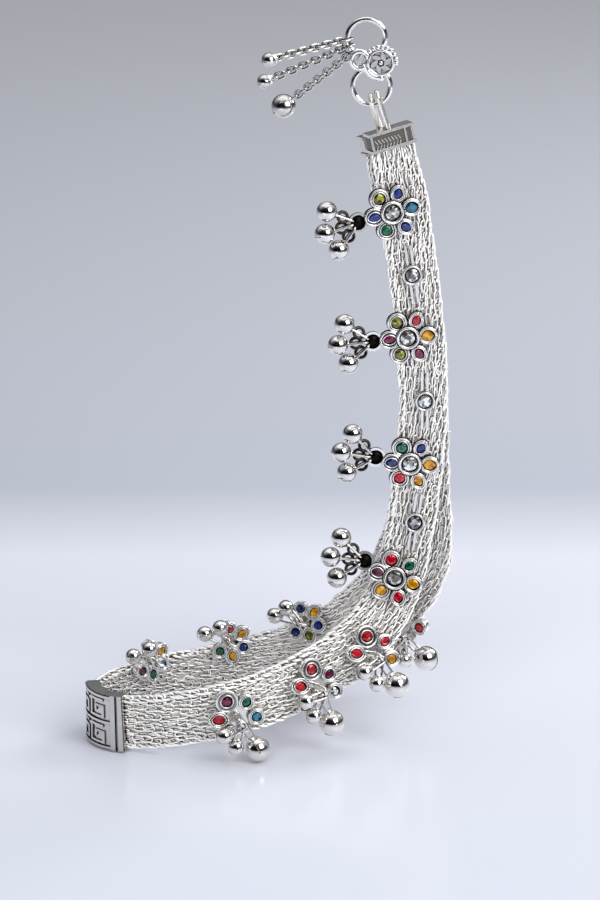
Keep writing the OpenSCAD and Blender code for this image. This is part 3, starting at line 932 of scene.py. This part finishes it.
def cap_panels():
    """Oxidised ground of the front cap, behind its hatching, and a grey sheet of painted shade on
    its left side.
    """
    skin, height, middle_height = 0.1, 2.3, 0.8
    front_panel = ((6.9, height, skin), (-0.1, middle_height, 1.23))
    left_panel = ((skin, height, 2.1), (-3.86, middle_height, 0))
    cap = seat("front", 0, 0, -band_thickness / 2, 1)
    bm = bmesh.new()
    for size, spot in (front_panel, left_panel):
        made = bmesh.ops.create_cube(bm, size=1)["verts"]
        bmesh.ops.scale(bm, verts=made, vec=size)
        bmesh.ops.transform(bm, verts=made, matrix=cap @ moved(*spot))
    mesh = mesh_of(bm, "cap_panels", smooth=False)
    link_object("cap_panels", mesh, panel_finish)


def jump_rings():
    """Small oxidised ring in each long loop between a cup and its bell."""
    past_middle, lean = 0.1, 25
    bm = bmesh.new()
    wire_ring(bm, turned("X", 90), reach=0.9, height=0, wire=0.29, steps=20)
    frames = [
        hook @ moved((reach - radius) / 2 + past_middle) @ turned("X", lean)
        for hook, reach, radius, kind in bell_hooks()
        if kind == "cup"
    ]
    show_repeated("jump_rings", bm, frames, dark_ring)


def small_rings():
    """Thick ring on the standing eye of a flower for each of its bells."""
    from_eye, lean = 0.55, 30
    bm = bmesh.new()
    wire_ring(bm, turned("X", 90), reach=0.5, height=0, wire=0.2, steps=16)
    frames = [
        hook @ moved(from_eye) @ turned("X", lean)
        for hook, _, _, kind in bell_hooks()
        if kind != "cup"
    ]
    show_repeated("small_rings", bm, frames, bell_finish)


def cup_plates():
    """Black plate inside each cup, as painted shade of the cup's hollow."""
    radius, thickness, lift = 1.27, 0.16, 0.3
    bm = bmesh.new()
    bmesh.ops.create_cone(
        bm, segments=32, radius1=radius, radius2=radius, depth=thickness, cap_ends=True
    )
    bmesh.ops.translate(bm, verts=bm.verts, vec=(cup_reach, 0, plate_thickness + lift))
    frames = [motif_seat(motif) @ turned("Z", motif.bell_angle) for motif in CUP_FLOWERS]
    show_repeated("cup_plates", bm, frames, blackened)


# Bezels


def bezel_rims():
    """Round wire along the outside of every bezel, and a finer one round a petal's stone."""
    outer_wire, outer_inset, outer_sink = 0.21, 0.02, 0.03
    inner_wire, inner_reach, inner_lift = 0.13, stone_gap + 0.1, 0.05
    heart_wire, heart_reach = 0.27, heart_radius - heart_wall / 2
    heart_height = bezel_top + 0.24
    round_wire, round_reach, round_height = 0.16, round_bezel_radius - 0.1, 0.93
    bm = bmesh.new()
    for place, petal, _, _ in petals_in_place():
        outer = (petal.long - outer_inset, petal.wide - outer_inset)
        outline_wire(bm, place, *outer, bezel_top - outer_sink, outer_wire)
        inner = (petal.stone_long + inner_reach, petal.stone_wide + inner_reach)
        outline_wire(bm, place, *inner, bezel_top + inner_lift, inner_wire)
    for motif in CUP_FLOWERS:
        wire_ring(bm, motif_seat(motif), heart_reach, heart_height, heart_wire, steps=36)
    for place in round_bezel_seats():
        wire_ring(bm, place, round_reach, round_height, round_wire, steps=32)
    link_object("bezel_rims", mesh_of(bm, "bezel_rims"), cast_finish)


def bezel_grooves():
    """Dark wire of painted shade in the groove between the two wires of every petal.

    A cup flower's petals and heart also have a dark wire of painted shadow round the outside,
    where they stand on the band.
    """
    groove_lift, cup_groove, other_groove = 0.02, 0.11, 0.08
    solder_wire, solder_reach, solder_lift = 0.14, 0.13, 0.25
    heart_reach, heart_height = heart_radius + 0.14, bezel_top + 0.05
    bm = bmesh.new()
    for place, petal, _, kind in petals_in_place():
        long = (petal.long + petal.stone_long + stone_gap) / 2
        wide = (petal.wide + petal.stone_wide + stone_gap) / 2
        wire = cup_groove if kind == "cup" else other_groove
        outline_wire(bm, place, long, wide, bezel_top + groove_lift, wire)
        if kind == "cup":
            foot = (petal.long + solder_reach, petal.wide + solder_reach)
            outline_wire(bm, place, *foot, plate_thickness + solder_lift, solder_wire)
    for motif in CUP_FLOWERS:
        wire_ring(bm, motif_seat(motif), heart_reach, heart_height, solder_wire, steps=30)
    link_object("bezel_grooves", mesh_of(bm, "bezel_grooves"), dark_ring)


# Stones


def cut_stone(bm, place, long, wide, low, top):
    """Cut stone with a table and two rows of facets, set a little out of true."""
    lean, crown_share, leaf_power, uneven = 6, 0.42, 0.7, 0.035
    middle = (top + low) / 2
    tilt = turned("X", dice.uniform(-lean, lean)) @ turned("Y", dice.uniform(-lean, lean))
    gem = bmesh.new()
    bmesh.ops.create_cone(gem, segments=14, radius1=1, radius2=1, depth=top - low, cap_ends=True)
    bmesh.ops.translate(gem, verts=gem.verts, vec=(0, 0, middle))
    pointed = long - wide > round_within
    for v in gem.verts:
        v.co.x *= long
        v.co.y *= wide * (abs(v.co.y) ** leaf_power if pointed else 1)
    bmesh.ops.bevel(
        gem,
        geom=[edge for edge in gem.edges if all(v.co.z > middle for v in edge.verts)],
        offset=wide * crown_share,
        segments=2,
        profile=0.5,
        affect="EDGES",
        clamp_overlap=True,
        material=-1,
    )
    for v in gem.verts:
        v.co += Vector([dice.uniform(-uneven, uneven) for _ in range(3)])
    bmesh.ops.transform(gem, verts=gem.verts, matrix=place @ tilt)
    join_part(bm, gem)


def stones_of(name):
    """All the cut stones of one colour."""
    low = plate_thickness + 0.06
    petal_top = low + 0.9
    heart_top = low + 1.1
    heart_reach = heart_radius - heart_wall - stone_gap
    round_reach, round_low, round_top = 1.24, 0.36, 1.15
    bm = bmesh.new()
    for place, petal, stone, _ in petals_in_place():
        if stone == name:
            cut_stone(bm, place, petal.stone_long, petal.stone_wide, low, petal_top)
    if name == "clear":
        for motif in CUP_FLOWERS:
            cut_stone(bm, motif_seat(motif), heart_reach, heart_reach, low, heart_top)
        for place in round_bezel_seats():
            cut_stone(bm, place, round_reach, round_reach, round_low, round_top)
    mesh = mesh_of(bm, f"cut_{name}", smooth=False)
    link_object(f"cut_{name}", mesh, stone_glass[name], [f"stones_{name}"])


bell_slits()
bell_seams()
bell_collars()
fluted_caps()
cap_panels()
jump_rings()
small_rings()
cup_plates()
bezel_rims()
bezel_grooves()
for name in STONES:
    stones_of(name)

# Finishes of the solids that stay in view, by how their names start
OWN_FINISHES = {
    "fringe": link_finish,
    "fold_plate": plate_finish,
    "end_cap": cap_finish,
    "bell_cluster": bell_finish,
    "ring_": bell_finish,
}
for name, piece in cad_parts.items():
    finish = cast_finish
    for start, own_finish in OWN_FINISHES.items():
        if name.startswith(start):
            finish = own_finish
    for slot in piece.material_slots:
        slot.material = finish


# Camera, floor and light


def stage_floor():
    """Plain floor that the anklet stands on."""
    bm = bmesh.new()
    bmesh.ops.create_grid(bm, x_segments=1, y_segments=1, size=floor_size * MM / 2)
    bmesh.ops.translate(bm, verts=bm.verts, vec=(0, 0, floor_height * MM))
    mesh = bpy.data.meshes.new("floor")
    bm.to_mesh(mesh)
    bm.free()
    mesh.materials.append(floor_gloss())
    plane = bpy.data.objects.new("floor", mesh)
    bpy.context.scene.collection.objects.link(plane)


stage_floor()


def soft_box(name, place, target, width, height, power, colour, mirrored=True):
    """Area light aimed at a target. Polished metal doesn't show one that isn't mirrored."""
    data = bpy.data.lights.new(name, "AREA")
    data.shape = "RECTANGLE"
    data.size = width * MM
    data.size_y = height * MM
    data.energy = power
    data.color = linear(colour)[:3]
    lamp = bpy.data.objects.new(name, data)
    bpy.context.scene.collection.objects.link(lamp)
    lamp.visible_glossy = mirrored
    lamp.location = Vector(place) * MM
    aim = (Vector(target) - Vector(place)).normalized()
    lamp.rotation_euler = aim.to_track_quat("-Z", "Y").to_euler()


middle = (-10, 0, -70)
lower_band = (-30, 0, -115)
right_strand = (12, 0, -90)
# columns: name, place, target, width, height, power in watts, colour, mirrored
soft_box("key_right", (330, -380, 280), middle, 380, 380, 1.95, "#fffdfa")
soft_box("top_fill", (-40, 40, 520), middle, 700, 600, 0.85, "#f6f8ff")
soft_box("back_right", (420, 330, 260), middle, 200, 300, 1.5, "#ffffff")
soft_box("low_fill", (-200, -430, -20), lower_band, 300, 300, 2.1, "#ffffff", False)
soft_box("right_fill", (330, -260, -50), right_strand, 200, 200, 0.75, "#ffffff", False)


def studio_world():
    """Pale studio overhead, nearly black just above the horizon and grey below it.

    It is darker still behind the camera, because polished silver shows all of it.
    """
    world = bpy.data.worlds.new("studio")
    world.use_nodes = True
    tree = world.node_tree
    tree.nodes.clear()
    way = add_node(tree, "ShaderNodeTexCoord").outputs["Generated"]
    height = add_node(tree, "ShaderNodeSeparateXYZ", {"Vector": way}).outputs["Z"]
    lift = add_node(
        tree, "ShaderNodeMapRange", {"Value": height, "From Min": -0.3, "From Max": 1.0}
    ).outputs["Result"]
    above = add_node(
        tree,
        "ShaderNodeValToRGB",
        {"Fac": lift},
        [(0.1, "#9a9da6"), (0.33, "#28292d"), (0.5, "#6f7278"), (0.8, "#dcdee3")],
    ).outputs["Color"]
    dark_way = Vector((-0.35, -0.92, 0.15)).normalized()
    dot = add_node(
        tree, "ShaderNodeVectorMath", {0: way, 1: dark_way}, operation="DOT_PRODUCT"
    ).outputs["Value"]
    front = add_node(
        tree, "ShaderNodeValToRGB", {"Fac": dot}, [(0.1, "#ffffff"), (0.8, "#303034")]
    ).outputs["Color"]
    shade = add_node(
        tree, "ShaderNodeVectorMath", {0: above, 1: front}, operation="MULTIPLY"
    ).outputs["Vector"]
    sky = add_node(tree, "ShaderNodeBackground", {"Color": shade, "Strength": 1.0})
    add_node(tree, "ShaderNodeOutputWorld", {"Surface": sky.outputs["Background"]})
    bpy.context.scene.world = world


studio_world()


def front_camera():
    """Long lens in front of the anklet, looking a little down."""
    data = bpy.data.cameras.new("camera")
    data.lens = camera_lens
    data.sensor_fit = "AUTO"
    data.sensor_width = 36.0
    data.clip_start = 0.01
    data.clip_end = 20.0
    camera = bpy.data.objects.new("camera", data)
    camera.location = camera_place * MM
    camera.rotation_euler = (math.radians(90 - camera_pitch), 0, 0)
    bpy.context.scene.collection.objects.link(camera)
    bpy.context.scene.camera = camera


front_camera()

bpy.context.scene.view_settings.view_transform = "Standard"
